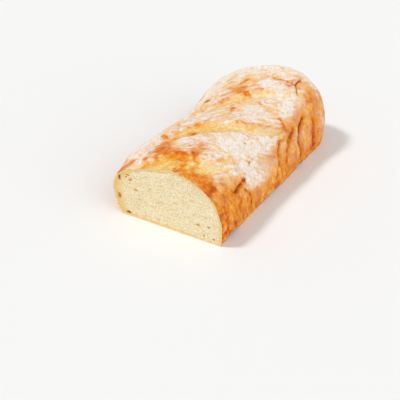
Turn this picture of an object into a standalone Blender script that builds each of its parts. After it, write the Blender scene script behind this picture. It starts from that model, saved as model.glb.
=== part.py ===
"""Part-cut white loaf: a floured, slashed crust with one flat cut face and a swollen far end.

Metres, +Z up. X runs from the cut face to the far end and +Y to the fuller, left side. The origin
is the middle of the loaf's box, on the surface that its flat base lies on.
"""

import math
from collections import namedtuple

import bmesh
import bpy
from mathutils import Vector, noise

# Length from the cut face to the far tip, and of the stretch where that end rounds off
LENGTH = 0.292
END_DOME = 0.060
DOME_FULLNESS = 2.7
BASE_FULLNESS = 5.0
DOME_CENTRE = 0.42
TIP_BASE = 0.62

# Distance from the cut, width left of the crest, width right of the crest, height
STATIONS = (
    (0.000, 0.0674, 0.0681, 0.0712),
    (0.040, 0.0778, 0.0671, 0.0768),
    (0.080, 0.0794, 0.0656, 0.0762),
    (0.140, 0.0791, 0.0652, 0.0748),
    (0.170, 0.0800, 0.0642, 0.0755),
    (0.200, 0.0856, 0.0630, 0.0800),
    (0.235, 0.0875, 0.0628, 0.0885),
    (0.292, 0.0920, 0.0670, 0.0930),
)
LEFT, RIGHT, HEIGHT = 1, 2, 3
# The crest's line lies this far to the right of the middle of the loaf's width
CREST_OFFSET = 0.0101

# Of each side: height of its widest place and width of its base, as shares, and the shoulder's fullness
Side = namedtuple("Side", "widest base fullness")
FULL_SIDE = Side(widest=0.49, base=0.78, fullness=1.7)
STEEP_SIDE = Side(widest=0.22, base=0.96, fullness=2.2)

# The crust is laid out flat as (distance from the cut, way round from the crest): a turn times this
GIRTH = 0.075
SHOULDER_TURN = math.pi / 2
BASE_TURN = 0.75 * math.pi

# A slash opens into a smooth valley, with a lip of crust standing along its far edge.
# Each row of its route: way round from the crest, distance from the cut, width
Slash = namedtuple("Slash", "route depth lip")
NEAR_SLASH = (
    (-0.060, 0.052, 0.008),
    (-0.050, 0.042, 0.020),
    (-0.038, 0.031, 0.025),
    (-0.012, 0.020, 0.026),
    (0.005, 0.010, 0.026),
    (0.022, 0.001, 0.026),
    (0.045, -0.005, 0.026),
    (0.064, -0.010, 0.018),
)
MIDDLE_SLASH = (
    (-0.070, 0.165, 0.006),
    (-0.052, 0.144, 0.012),
    (-0.036, 0.127, 0.017),
    (-0.016, 0.112, 0.021),
    (0.007, 0.095, 0.025),
    (0.029, 0.075, 0.027),
    (0.046, 0.056, 0.024),
    (0.064, 0.042, 0.010),
)
FAR_SLASH = (
    (-0.042, 0.222, 0.006),
    (-0.028, 0.212, 0.011),
    (-0.015, 0.202, 0.015),
    (0.008, 0.182, 0.021),
    (0.021, 0.173, 0.021),
    (0.043, 0.149, 0.019),
    (0.055, 0.136, 0.017),
    (0.072, 0.119, 0.009),
)
END_SLASH = (
    (-0.026, 0.254, 0.005),
    (-0.003, 0.251, 0.008),
    (0.030, 0.248, 0.009),
    (0.058, 0.240, 0.006),
)
SLASHES = (
    Slash(NEAR_SLASH, 0.0030, 0.0012),
    Slash(MIDDLE_SLASH, 0.0036, 0.0014),
    Slash(FAR_SLASH, 0.0034, 0.0014),
    Slash(END_SLASH, 0.0014, 0.0007),
)

# Shares of a slash's half width: where its flat floor ends, where its bank ends, and its lip's reach
VALLEY_FLOOR = 0.45
VALLEY_RIM = 1.20
LIP_REACH = 0.50
# A slash fades in over this much of the way round at each end
SLASH_FADE = 0.010

# A crease is a groove through these places of the laid-out crust
Crease = namedtuple("Crease", "places width depth")
CREASES = (
    Crease(((0.186, -0.077), (0.168, -0.082), (0.158, -0.092), (0.152, -0.108)), 0.0060, 0.0018),
    Crease(((0.215, -0.076), (0.198, -0.084), (0.190, -0.096), (0.194, -0.122)), 0.0064, 0.0022),
    Crease(((0.229, -0.090), (0.226, -0.106), (0.228, -0.126), (0.234, -0.154)), 0.0062, 0.0020),
    Crease(((0.150, -0.072), (0.139, -0.084), (0.136, -0.100), (0.128, -0.118)), 0.0056, 0.0012),
    Crease(((0.036, -0.085), (0.050, -0.084), (0.061, -0.080)), 0.0056, 0.0018),
    Crease(((0.058, -0.094), (0.068, -0.110), (0.070, -0.140)), 0.0056, 0.0012),
    Crease(((0.231, -0.006), (0.236, -0.037), (0.227, -0.047)), 0.0054, 0.0012),
    Crease(((0.236, -0.037), (0.251, -0.036)), 0.0050, 0.0014),
)

# The base's edge rises off the surface here: middle and half length along the loaf, rise, and side
Lift = namedtuple("Lift", "middle half_length rise side")
LIFTS = (
    Lift(0.027, 0.017, 0.0075, -1),
    Lift(0.191, 0.011, 0.0045, -1),
    Lift(0.118, 0.030, 0.0025, -1),
    Lift(0.090, 0.034, 0.0040, 1),
    Lift(0.188, 0.020, 0.0030, 1),
)
LIFT_REACH = 0.45

# Size and height of the risen dough's swells
SWELLS = ((0.046, 0.0016), (0.019, 0.0007))
SWELL_SEED = Vector((3.1, 7.7, 1.9))

# The relief fades out over this much turn above the base, and over this length before the far tip
FADE_TURN = 0.3 * math.pi
FADE_LENGTH = 0.006
# Over this length from the cut it turns from lying in the cut's plane to straight out of the form
CUT_SQUARE = 0.010

# The cut: its rim of crust, and how far the crumb inside it sinks and waves
CRUST_THICKNESS = 0.0022
CRUMB_SINK = 0.0004
CRUMB_WAVE = 0.0005
CRUMB_WAVE_SIZE = 0.019
CRUMB_SINK_SHARE = 0.2

# Divisions of the mesh round the upper crust and the base, along the barrel and the dome, and in the cut
UPPER_DIVISIONS = 68
BASE_DIVISIONS = 10
BARREL_DIVISIONS = 50
DOME_DIVISIONS = 15
CUT_SHARES = (0.0, 0.25, 0.5, 0.75, 0.93)
# The last ring stands this share of the way to the tip, and a step this long finds which way is out
TIP_SHARE = 0.9995
PROBE = 0.0004

CRUST_COLOUR = (0.72, 0.36, 0.12, 1.0)
CRUMB_COLOUR = (0.86, 0.73, 0.48, 1.0)


def eased(share):
    """0 below 0, 1 above 1, and a smooth rise between."""
    share = min(max(share, 0.0), 1.0)
    return share * share * (3 - 2 * share)


def row_slope(rows, i, column):
    before, after = max(i - 1, 0), min(i + 1, len(rows) - 1)
    return (rows[after][column] - rows[before][column]) / (rows[after][0] - rows[before][0])


def along(rows, place, column):
    """A column of the rows where their first column reads place, on a smooth curve through them."""
    i = sum(row[0] <= place for row in rows[1:-1])
    span = rows[i + 1][0] - rows[i][0]
    t = (place - rows[i][0]) / span
    return (
        (2 * t**3 - 3 * t**2 + 1) * rows[i][column]
        + (t**3 - 2 * t**2 + t) * span * row_slope(rows, i, column)
        + (3 * t**2 - 2 * t**3) * rows[i + 1][column]
        + (t**3 - t**2) * span * row_slope(rows, i + 1, column)
    )


def section_point(turn, width, height, side, roundness):
    """(outwards, up) on one side of a section, at this turn from the crest, 0 to pi."""
    widest = height * (side.widest + (DOME_CENTRE - side.widest) * roundness)
    base = width * (side.base + (TIP_BASE - side.base) * roundness)
    if turn <= SHOULDER_TURN:
        out = width * math.sin(turn) ** (2 / side.fullness)
        up = widest + (height - widest) * max(math.cos(turn), 0.0) ** (2 / side.fullness)
        return out, up
    if turn <= BASE_TURN:
        corner = (turn - SHOULDER_TURN) / (BASE_TURN - SHOULDER_TURN) * math.pi / 2
        return base + (width - base) * math.cos(corner), widest * (1 - math.sin(corner))
    return base * (math.pi - turn) / (math.pi - BASE_TURN), 0.0


def smooth_form(distance, turn):
    """The loaf's outline with no slashes, creases or swells."""
    share = min(max((distance - LENGTH + END_DOME) / END_DOME, 0.0), 1.0)
    shrink = (1 - share**DOME_FULLNESS) ** (1 / DOME_FULLNESS)
    base_shrink = (1 - share**BASE_FULLNESS) ** (1 / BASE_FULLNESS)
    height = along(STATIONS, distance, HEIGHT)
    width = along(STATIONS, distance, LEFT if turn >= 0 else RIGHT) * shrink
    side = FULL_SIDE if turn >= 0 else STEEP_SIDE
    out, up = section_point(abs(turn), width, height, side, share**BASE_FULLNESS)
    centre = DOME_CENTRE * height
    up = centre + (up - centre) * (shrink if up > centre else base_shrink)
    return Vector((distance, math.copysign(out, turn), up))


def outwards(distance, turn):
    """The direction straight out of the smooth form, kept in the cut's plane at the cut."""
    far = min(distance + PROBE, LENGTH * TIP_SHARE)
    lengthwise = smooth_form(far, turn) - smooth_form(max(far - 2 * PROBE, 0.0), turn)
    step = PROBE / GIRTH
    round_it = smooth_form(distance, turn + step) - smooth_form(distance, turn - step)
    out = lengthwise.cross(round_it).normalized()
    out.x *= eased(distance / CUT_SQUARE)
    return out


def slash_relief(slash, distance, way):
    """Height of one slash's valley and lip at a place of the laid-out crust."""
    first, last = slash.route[0][0], slash.route[-1][0]
    if not first < way < last:
        return 0.0
    slant = (along(slash.route, way + PROBE, 1) - along(slash.route, way - PROBE, 1)) / (2 * PROBE)
    off = (distance - along(slash.route, way, 1)) / math.hypot(1, slant)
    half = 0.5 * along(slash.route, way, 2)
    fade = eased((way - first) / SLASH_FADE) * eased((last - way) / SLASH_FADE)
    valley = -slash.depth * eased((VALLEY_RIM - abs(off) / half) / (VALLEY_RIM - VALLEY_FLOOR))
    lip = slash.lip * math.exp(-(((off / half - VALLEY_RIM) / LIP_REACH) ** 2))
    return fade * (valley + lip)


def crease_relief(crease, distance, way):
    """Height of one crease's groove at a place of the laid-out crust."""
    here = Vector((distance, way))
    nearest = math.inf
    for first, last in zip(crease.places, crease.places[1:]):
        run = Vector(last) - Vector(first)
        share = min(max((here - Vector(first)).dot(run) / run.length_squared, 0.0), 1.0)
        nearest = min(nearest, (here - Vector(first) - share * run).length)
    return -crease.depth * math.exp(-((2 * nearest / crease.width) ** 2))


def relief(distance, turn):
    """How far the crust stands out from the smooth form."""
    way = turn * GIRTH
    place = smooth_form(distance, turn)
    height = sum(slash_relief(slash, distance, way) for slash in SLASHES)
    height += sum(crease_relief(crease, distance, way) for crease in CREASES)
    height += sum(size * noise.noise(place / reach + SWELL_SEED) for reach, size in SWELLS)
    above_base = eased((BASE_TURN - abs(turn)) / FADE_TURN)
    off_tip = eased((LENGTH - distance) / FADE_LENGTH)
    return height * above_base * off_tip


def base_lift(distance, turn):
    """How far the base's edge rises off the surface."""
    rise = 0.0
    for lift in LIFTS:
        reach = 1 - abs(abs(turn) - BASE_TURN) / LIFT_REACH
        if lift.side * turn > 0 and reach > 0:
            rise += lift.rise * eased(reach) * eased(1 - abs(distance - lift.middle) / lift.half_length)
    return rise


def crust_point(distance, turn):
    point = smooth_form(distance, turn)
    point += relief(distance, turn) * outwards(distance, turn)
    if abs(turn) >= BASE_TURN:
        point.z = max(point.z, 0.0)
    point.z += base_lift(distance, turn)
    return point


def cut_point(share, turn):
    """A place in the cut: share 0 is its middle and 1 the crust's inner edge."""
    rim = crust_point(0.0, turn)
    middle = Vector((0.0, 0.0, 0.5 * STATIONS[0][HEIGHT]))
    inner = middle + (rim - middle) * (1 - CRUST_THICKNESS / (rim - middle).length)
    point = middle + (inner - middle) * share
    wave = noise.noise(point / CRUMB_WAVE_SIZE + SWELL_SEED) * CRUMB_WAVE
    point.x = (CRUMB_SINK + wave) * eased((1 - share) / CRUMB_SINK_SHARE)
    return point


def turns():
    """The turns of a ring's points: even round the upper crust, wider apart under the base."""
    upper = [BASE_TURN * (2 * i / UPPER_DIVISIONS - 1) for i in range(UPPER_DIVISIONS + 1)]
    half = BASE_DIVISIONS // 2
    step = (math.pi - BASE_TURN) / half
    left = [BASE_TURN + step * i for i in range(1, half + 1)]
    return [-turn for turn in reversed(left)] + upper + left


def rings():
    """One function of the turn for each ring of points, from the cut's middle to the far tip."""
    made = [lambda turn, share=share: cut_point(share, turn) for share in CUT_SHARES]
    made.append(lambda turn: cut_point(1.0, turn))
    barrel = LENGTH - END_DOME
    places = [barrel * i / BARREL_DIVISIONS for i in range(BARREL_DIVISIONS + 1)]
    for i in range(1, DOME_DIVISIONS + 1):
        share = math.sin(0.5 * math.pi * i / DOME_DIVISIONS)
        places.append(barrel + END_DOME * min(share, TIP_SHARE))
    made += [lambda turn, place=place: crust_point(place, turn) for place in places]
    made.append(lambda turn: Vector((LENGTH, 0.0, DOME_CENTRE * STATIONS[-1][HEIGHT])))
    return made


def shape_loaf():
    """A flat grid wrapped round the loaf: its rows are rings, and its two long edges meet under the base."""
    ring_points = rings()
    ring_turns = turns()
    rows, columns = len(ring_points) - 1, len(ring_turns) - 1
    mesh = bmesh.new()
    bmesh.ops.create_grid(mesh, x_segments=rows, y_segments=columns, size=0.5)
    for face in mesh.faces:
        in_cut = face.calc_center_median().x + 0.5 < len(CUT_SHARES) / rows
        face.material_index = int(in_cut)
    for vertex in mesh.verts:
        row = round((vertex.co.x + 0.5) * rows)
        column = round((vertex.co.y + 0.5) * columns)
        vertex.co = ring_points[row](ring_turns[column])
    bmesh.ops.remove_doubles(mesh, verts=mesh.verts, dist=1e-5)
    bmesh.ops.triangulate(mesh, faces=mesh.faces, quad_method="ALTERNATE")
    bmesh.ops.recalc_face_normals(mesh, faces=mesh.faces)
    return mesh


def food_material(name, colour, roughness):
    material = bpy.data.materials.new(name)
    material.use_nodes = True
    shader = material.node_tree.nodes["Principled BSDF"]
    shader.inputs["Base Color"].default_value = colour
    shader.inputs["Roughness"].default_value = roughness
    shader.inputs["Metallic"].default_value = 0.0
    return material


def make_loaf():
    mesh = shape_loaf()
    bmesh.ops.translate(mesh, verts=mesh.verts, vec=(-LENGTH / 2, -CREST_OFFSET, 0.0))
    data = bpy.data.meshes.new("loaf")
    mesh.to_mesh(data)
    mesh.free()
    data.materials.append(food_material("crust", CRUST_COLOUR, 0.75))
    data.materials.append(food_material("crumb", CRUMB_COLOUR, 0.95))
    data.shade_smooth()
    data.set_sharp_from_angle(angle=math.radians(50))
    loaf = bpy.data.objects.new("loaf", data)
    bpy.context.scene.collection.objects.link(loaf)


def main():
    for thing in list(bpy.data.objects):
        bpy.data.objects.remove(thing)
    make_loaf()


main()
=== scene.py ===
import math
from collections import namedtuple

import bmesh
import bpy
import numpy as np
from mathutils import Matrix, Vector, noise


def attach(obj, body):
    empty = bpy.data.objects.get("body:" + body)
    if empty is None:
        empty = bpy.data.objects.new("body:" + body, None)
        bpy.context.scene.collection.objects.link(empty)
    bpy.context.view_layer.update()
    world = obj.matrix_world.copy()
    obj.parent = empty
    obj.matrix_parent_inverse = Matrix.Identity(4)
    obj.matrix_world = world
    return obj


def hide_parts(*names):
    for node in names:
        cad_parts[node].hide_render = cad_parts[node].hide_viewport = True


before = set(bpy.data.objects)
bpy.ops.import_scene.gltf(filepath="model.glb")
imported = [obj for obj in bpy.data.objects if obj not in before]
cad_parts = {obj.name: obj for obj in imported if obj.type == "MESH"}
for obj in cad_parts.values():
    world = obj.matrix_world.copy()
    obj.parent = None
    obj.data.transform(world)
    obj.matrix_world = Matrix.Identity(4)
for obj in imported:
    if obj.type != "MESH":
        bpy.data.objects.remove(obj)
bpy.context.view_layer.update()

# The loaf's form, as its solid has it, in metres. It is laid out from the cut's plane, below the crest
LENGTH = 0.292
END_DOME = 0.060
DOME_FULLNESS = 2.7
BASE_FULLNESS = 5.0
DOME_CENTRE = 0.42
TIP_BASE = 0.62

# Distance from the cut, width left of the crest, width right of the crest, height
STATIONS = (
    (0.000, 0.0674, 0.0681, 0.0712),
    (0.040, 0.0778, 0.0671, 0.0768),
    (0.080, 0.0794, 0.0656, 0.0762),
    (0.140, 0.0791, 0.0652, 0.0748),
    (0.170, 0.0800, 0.0642, 0.0755),
    (0.200, 0.0856, 0.0630, 0.0800),
    (0.235, 0.0875, 0.0628, 0.0885),
    (0.292, 0.0920, 0.0670, 0.0930),
)
LEFT, RIGHT, HEIGHT = 1, 2, 3
# The height of the cut's middle
CUT_MIDDLE = 0.5 * STATIONS[0][HEIGHT]
# The crest's line lies this far to the right of the middle of the loaf's width
CREST_OFFSET = 0.0101

# Of each side: height of its widest place and width of its base, as shares, and the shoulder's fullness
Side = namedtuple("Side", "widest base fullness")
FULL_SIDE = Side(widest=0.49, base=0.78, fullness=1.7)
STEEP_SIDE = Side(widest=0.22, base=0.96, fullness=2.2)

# The crust is laid out flat as (distance from the cut, way round from the crest): a turn times this
GIRTH = 0.075
SHOULDER_TURN = math.pi / 2
BASE_TURN = 0.75 * math.pi

# A slash opens into a smooth valley, with a lip of crust standing along its far edge, and bakes more or
# less pale inside. Each row of its route: way round from the crest, distance from the cut, width
Slash = namedtuple("Slash", "route depth lip pale")
NEAR_SLASH = (
    (-0.060, 0.052, 0.008), (-0.050, 0.042, 0.020), (-0.038, 0.031, 0.025), (-0.012, 0.020, 0.026),
    (0.005, 0.010, 0.026), (0.022, 0.001, 0.026), (0.045, -0.005, 0.026), (0.064, -0.010, 0.018),
)
MIDDLE_SLASH = (
    (-0.070, 0.165, 0.006), (-0.052, 0.144, 0.012), (-0.036, 0.127, 0.017), (-0.016, 0.112, 0.021),
    (0.007, 0.095, 0.025), (0.029, 0.075, 0.027), (0.046, 0.056, 0.024), (0.064, 0.042, 0.010),
)
FAR_SLASH = (
    (-0.042, 0.222, 0.006), (-0.028, 0.212, 0.011), (-0.015, 0.202, 0.015), (0.008, 0.182, 0.021),
    (0.021, 0.173, 0.021), (0.043, 0.149, 0.019), (0.055, 0.136, 0.017), (0.072, 0.119, 0.009),
)
END_SLASH = (
    (-0.026, 0.254, 0.005), (-0.003, 0.251, 0.008), (0.030, 0.248, 0.009), (0.058, 0.240, 0.006),
)
SLASHES = (
    Slash(NEAR_SLASH, 0.0030, 0.0012, 0.0),
    Slash(MIDDLE_SLASH, 0.0036, 0.0014, 0.2),
    Slash(FAR_SLASH, 0.0034, 0.0014, 0.7),
    Slash(END_SLASH, 0.0014, 0.0007, 0.9),
)
# In half widths: a valley's floor and rim, and its lip's reach. A slash fades out over this at its ends
VALLEY_FLOOR, VALLEY_RIM = 0.45, 1.20
LIP_REACH = 0.50
SLASH_FADE = 0.010

# A crease is a groove through these places of the laid-out crust, darkened inside with painted shade and
# browned around
Crease = namedtuple("Crease", "places width depth dark halo")
CREASES = (
    Crease(((0.186, -0.077), (0.168, -0.082), (0.158, -0.092), (0.152, -0.108)), 0.0060, 0.0018, 0.7, 1.0),
    Crease(((0.215, -0.076), (0.198, -0.084), (0.190, -0.096), (0.194, -0.122)), 0.0064, 0.0022, 1.2, 1.0),
    Crease(((0.229, -0.090), (0.226, -0.106), (0.228, -0.126), (0.234, -0.154)), 0.0062, 0.0020, 0.35, 1.0),
    Crease(((0.150, -0.072), (0.139, -0.084), (0.136, -0.100), (0.128, -0.118)), 0.0056, 0.0012, 0.4, 0.8),
    Crease(((0.036, -0.085), (0.050, -0.084), (0.061, -0.080)), 0.0056, 0.0018, 1.4, 1.0),
    Crease(((0.058, -0.094), (0.068, -0.110), (0.070, -0.140)), 0.0056, 0.0012, 1.0, 0.8),
    Crease(((0.231, -0.006), (0.236, -0.037), (0.227, -0.047)), 0.0054, 0.0012, 0.5, 0.3),
    Crease(((0.236, -0.037), (0.251, -0.036)), 0.0050, 0.0014, 1.0, 0.4),
)

# The base's edge rises off the surface here: middle and half length along the loaf, rise, and side
LIFTS = (
    (0.027, 0.017, 0.0075, -1),
    (0.191, 0.011, 0.0045, -1),
    (0.118, 0.030, 0.0025, -1),
    (0.090, 0.034, 0.0040, 1),
    (0.188, 0.020, 0.0030, 1),
)
LIFT_REACH = 0.45

# Size and height of the risen dough's swells, and of the finer ripples that only the skin has
SWELLS = ((0.046, 0.0016), (0.019, 0.0007))
RIPPLES = ((0.0085, 0.00058), (0.0042, 0.00036))
SWELL_SEED = Vector((3.1, 7.7, 1.9))
# The relief fades over this turn above the base and this length before the tip
FADE_TURN = 0.3 * math.pi
FADE_LENGTH = 0.006
# The relief stands square off the crust from this far behind the cut
CUT_SQUARE = 0.010

# Noise drawn out into streaks: breadth and length of a streak, and its place in the noise
Streaks = namedtuple("Streaks", "breadth length seed")
SIDE_FOLDS = Streaks(0.0042, 0.018, 4.0)
SWEPT_FLOUR = Streaks(0.0036, 0.014, 6.0)
BROAD_STROKES = Streaks(0.0090, 0.026, 8.0)
SLASH_STRANDS = Streaks(0.30, 0.015, 2.0)
# The sides' folds: how far from the crest they start, over how much, their depth and their slant
FOLDS_FROM = 0.062
FOLDS_BLUR = 0.024
FOLD_DEPTH = 0.0005
FOLD_SLANT = 0.25
# The direction across the marks that the flour was swept into: along the loaf, and round it
SWEEP_ALONG, SWEEP_ROUND = 0.74, 0.67
# Edges on the crust wander by so much, over this size
JITTER = 0.0016
JITTER_SIZE = 0.006
DISTANCE_SEED = Vector((5.0, 0.0, 0.0))
WAY_SEED = Vector((0.0, 9.0, 0.0))

# Round or longish patches of the laid-out crust: distance, way, half length, half breadth, degrees that
# the half length is turned towards the left, and amount
BARE_PATCHES = (
    (0.026, 0.014, 0.028, 0.012, 85, 1.1),
    (0.042, 0.031, 0.013, 0.010, 0, 1.0),
    (0.057, 0.036, 0.011, 0.008, 0, 0.7),
    (0.048, -0.012, 0.014, 0.009, 15, 0.9),
    (0.006, -0.022, 0.016, 0.010, 90, 1.1),
    (0.013, -0.046, 0.015, 0.011, 70, 0.9),
    (0.006, 0.078, 0.020, 0.012, 90, 1.0),
    (0.014, 0.063, 0.008, 0.006, 60, 0.6),
    (0.066, 0.047, 0.005, 0.003, 60, 0.8),
    (0.100, 0.052, 0.013, 0.003, 40, 0.6),
    (0.142, 0.006, 0.024, 0.005, 20, 0.5),
    (0.150, -0.074, 0.009, 0.004, 0, 0.7),
    (0.174, -0.048, 0.022, 0.005, 85, 0.42),
    (0.179, -0.013, 0.006, 0.003, 90, 0.8),
    (0.198, 0.028, 0.020, 0.014, 40, 0.75),
    (0.212, 0.010, 0.012, 0.005, 60, 0.5),
    (0.220, 0.027, 0.006, 0.004, 90, 0.5),
    (0.229, -0.008, 0.022, 0.0035, 90, 0.5),
    (0.236, -0.060, 0.014, 0.008, 90, 0.2),
    (0.010, -0.122, 0.020, 0.014, 0, 0.6),
    (0.251, -0.004, 0.009, 0.004, 0, 0.5),
    (0.034, 0.098, 0.020, 0.007, 15, 0.6),
    (0.088, 0.094, 0.020, 0.007, 20, 0.65),
    (0.118, 0.064, 0.010, 0.005, -30, 0.5),
    (0.152, 0.101, 0.024, 0.007, -10, 0.65),
    (0.206, 0.094, 0.014, 0.008, 35, 0.5),
    (0.238, 0.104, 0.016, 0.006, 10, 0.45),
    (0.262, 0.066, 0.012, 0.007, 60, 0.6),
    (0.286, 0.014, 0.014, 0.005, 80, 0.3),
)
FLOURED_PATCHES = (
    (0.082, -0.036, 0.024, 0.022, 0, 1.1),
    (0.115, -0.058, 0.024, 0.011, -15, 1.1),
    (0.074, -0.080, 0.016, 0.014, 90, 1.2),
    (0.046, -0.052, 0.016, 0.008, 0, 0.6),
    (0.045, 0.074, 0.030, 0.014, 0, 1.1),
    (0.018, 0.053, 0.011, 0.007, 0, 0.9),
    (0.105, 0.042, 0.014, 0.010, -30, 0.7),
    (0.120, 0.078, 0.040, 0.014, 0, 0.55),
    (0.150, -0.028, 0.014, 0.010, -45, 0.5),
    (0.213, -0.006, 0.016, 0.008, 90, 1.3),
    (0.200, -0.046, 0.015, 0.014, 0, 0.9),
    (0.185, 0.076, 0.026, 0.020, 0, 0.75),
    (0.257, 0.034, 0.032, 0.020, 90, 1.2),
    (0.230, 0.072, 0.026, 0.018, 0, 0.8),
    (0.266, -0.012, 0.014, 0.016, 0, 1.0),
    (0.098, -0.100, 0.034, 0.012, 0, 0.55),
    (0.190, -0.100, 0.046, 0.026, 0, 0.50),
    (0.262, -0.050, 0.016, 0.010, 90, 0.6),
    (0.258, -0.095, 0.050, 0.018, 90, 0.58),
)
# How far down the right side the flour reaches, at this distance from the cut
FLOUR_EDGE = (
    (0.000, -0.060), (0.040, -0.067), (0.062, -0.089), (0.090, -0.105),
    (0.120, -0.096), (0.145, -0.079), (0.170, -0.071), (0.205, -0.070),
    (0.228, -0.062), (0.248, -0.050), (0.292, -0.046),
)
LEFT_FLOUR_EDGE = 0.116
# On the dome the flour ends at this height instead, from this far before the tip, over this much
DOME_FLOUR_HEIGHT = 0.046
DOME_FLOUR_REACH = 0.034
DOME_FLOUR_BLUR = 0.020
# The flour's edge is blurred over this, and wanders by the torn and the broad mottling
FLOUR_EDGE_BLUR = 0.054
FLOUR_EDGE_TEAR = 0.022
FLOUR_EDGE_SWAY = 0.030
# The far end's crown, white with flour: where it starts and ends, its right edge, and their blurs
CROWN_FROM, CROWN_FROM_BLUR = 0.222, 0.030
CROWN_TO, CROWN_TO_BLUR, CROWN_TO_SWAY = 0.286, 0.024, 0.012
CROWN_RIGHT, CROWN_RIGHT_BLUR = -0.030, 0.030
# Streaks fade out over this length, this far before the tip
STREAKS_FADE, STREAKS_END = 0.040, 0.008

# The crust's mottling: size of its features, and its place in the noise
BROAD_MOTTLING = (0.024, Vector((1.0, 4.0, 2.0)))
MIDDLE_MOTTLING = (0.0088, Vector((7.0, 1.0, 5.0)))
SMALL_MOTTLING = (0.0040, Vector((2.0, 8.0, 3.0)))
MIDDLE_TEAR, SMALL_TEAR = 0.45, 0.35
# A patch's torn edge: share of the tearing, and its blur
BARE_TEAR, BARE_BLUR = 1.3, 0.9
DUSTED_TEAR, DUSTED_BLUR = 1.0, 0.8
# A stroke runs where its noise is near 0: this far, and over this blur
STROKE_REACH, STROKE_BLUR = 1.2, 0.13

# Inside a slash, in half widths: where its smooth floor ends and its blur, and its bank along the lip,
# browned and darkened further with painted shade
OPEN_EDGE, OPEN_BLUR = 1.10, 0.45
BANK_PLACE, BANK_BREADTH, BANK_SWAY = 1.12, 0.15, 0.4
# Above here a slash's golden inside fades into the left side's crust
GOLDEN_EDGE, GOLDEN_BLUR, GOLDEN_TEAR = 0.050, 0.014, 0.010
# Right of here a slash bakes paler, up to this much more
PALE_FROM, PALE_BLUR, PALE_RISE = 0.008, 0.050, 0.7

# A crease's core, darkened with painted shade, and its browned halo, as shares of its width, and how ragged
# its core is
CREASE_CORE, CREASE_HALO = 0.38, 1.4
CREASE_RAG = 0.0018

# A small burst blister: its place on the laid-out crust, radius, depth and how dark it is
Blister = namedtuple("Blister", "distance way radius depth dark")
BLISTERS = (
    Blister(0.099, -0.044, 0.0014, 0.0007, 0.8),
    Blister(0.084, -0.068, 0.0016, 0.0006, 0.6),
    Blister(0.040, -0.105, 0.0014, 0.0007, 0.7),
    Blister(0.177, 0.062, 0.0028, 0.0014, 1.0),
    Blister(0.081, 0.020, 0.0022, 0.0008, 0.8),
    Blister(0.062, -0.083, 0.0020, 0.0010, 0.9),
    Blister(0.050, -0.084, 0.0016, 0.0008, 0.7),
)
# The browned crust around a blister is so many times as wide
BURST_SPREAD = 1.7
# How dark the painted shade in the creases is, and how dark the blisters are
CREASE_PAINTED_SHADE, BLISTER_DARKENING = 1.4, 0.9

# Where the middle or the small mottling lets these show: a start, and a rise with the mottling
STROKES_SHOW = (0.45, 1.6)
BANKS_SHOW = (0.6, 2.0)
CREASES_SHOW = (0.75, 1.8)

# How much each mark browns the crust: 0 is pale gold and 1 is dark brown
Browning = namedtuple("Browning", "crust sides bare broad middle small folds swept strokes banks halo burst")
BROWNING = Browning(
    crust=0.44, sides=0.16, bare=0.26, broad=0.12, middle=0.14, small=0.10,
    folds=0.28, swept=0.10, strokes=0.26, banks=0.28, halo=0.20, burst=0.35,
)
# The same inside a slash, where the left end bakes browner and a bare patch keeps its own bake
Golden = namedtuple("Golden", "crust pale left strands middle")
GOLDEN = Golden(crust=0.30, pale=0.20, left=0.08, strands=0.20, middle=0.10)
GOLDEN_LEFT = 0.050
BARE_KEEPS = 0.7
# Off the sides, what is browner than this is made so much less so
BROWN_LIMIT, BROWN_EASING = 0.66, 0.6

# How much each mark adds to the flour or takes from it: 0 is bare and 1 is white
Flouring = namedtuple(
    "Flouring",
    "crust dusted sides opened pale bare banks halo dark burst crown "
    "broad middle small swept folds strands strokes",
)
FLOURING = Flouring(
    crust=0.75, dusted=0.36, sides=0.95, opened=0.75, pale=0.55, bare=0.85,
    banks=0.32, halo=0.45, dark=0.8, burst=1.2, crown=0.20, broad=0.26,
    middle=0.52, small=0.38, swept=0.52, folds=0.14, strands=0.20, strokes=0.38,
)
# Shares by which one mark weakens another
DUST_ON_SIDES, DUST_ON_STROKES = 0.55, 0.75
CROWN_ON_STROKES = 0.6
SIDES_ON_MOTTLING = 0.6
# The least level of flour, so low that the grain doesn't show any
BAREST = -0.5

# The underside, below this height, has its own bake and flour
UNDERSIDE_HEIGHT = 0.002
Underside = namedtuple("Underside", "crust broad middle small")
UNDERSIDE_BAKE = Underside(crust=0.68, broad=0.16, middle=0.12, small=0.06)
UNDERSIDE_FLOUR = Underside(crust=0.10, broad=0.60, middle=0.40, small=0.0)

# Divisions of the crust round the top and the base, along the barrel and the dome
UPPER_DIVISIONS = 230
BASE_DIVISIONS = 20
BARREL_DIVISIONS = 274
DOME_DIVISIONS = 84
# The last ring lies just short of the tip
TIP_SHARE = 0.9995
# Slopes are measured over this length, nothing is divided by less than this, and points merge within this
PROBE = 0.0004
TINY = 1e-12
MERGE_REACH = 1e-5

# The crumb sits in a shallow seat behind the crust's rim, which is as pale as this where it is cut
RIM = 0.0016
SKIN = 0.0004
SEAT_DEPTH = 0.0035
CUT_EDGE = {"bake": 0.08, "flour": 0.0, "dark": 0.0}


def eased(share):
    """0 below 0, 1 above 1, and a smooth rise between."""
    share = np.clip(share, 0.0, 1.0)
    return share * share * (3 - 2 * share)


def along(rows, place, column):
    """A column of the rows where their first column reads place, on a smooth curve through them."""
    table = np.array(rows)
    starts, values = table[:, 0], table[:, column]
    numbers = np.arange(len(table))
    before, after = np.maximum(numbers - 1, 0), np.minimum(numbers + 1, len(table) - 1)
    slopes = (values[after] - values[before]) / (starts[after] - starts[before])
    i = np.clip(np.searchsorted(starts, place, side="right") - 1, 0, len(table) - 2)
    span = starts[i + 1] - starts[i]
    t = (place - starts[i]) / span
    return (
        (2 * t**3 - 3 * t**2 + 1) * values[i]
        + (t**3 - 2 * t**2 + t) * span * slopes[i]
        + (3 * t**2 - 2 * t**3) * values[i + 1]
        + (t**3 - t**2) * span * slopes[i + 1]
    )


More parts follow.
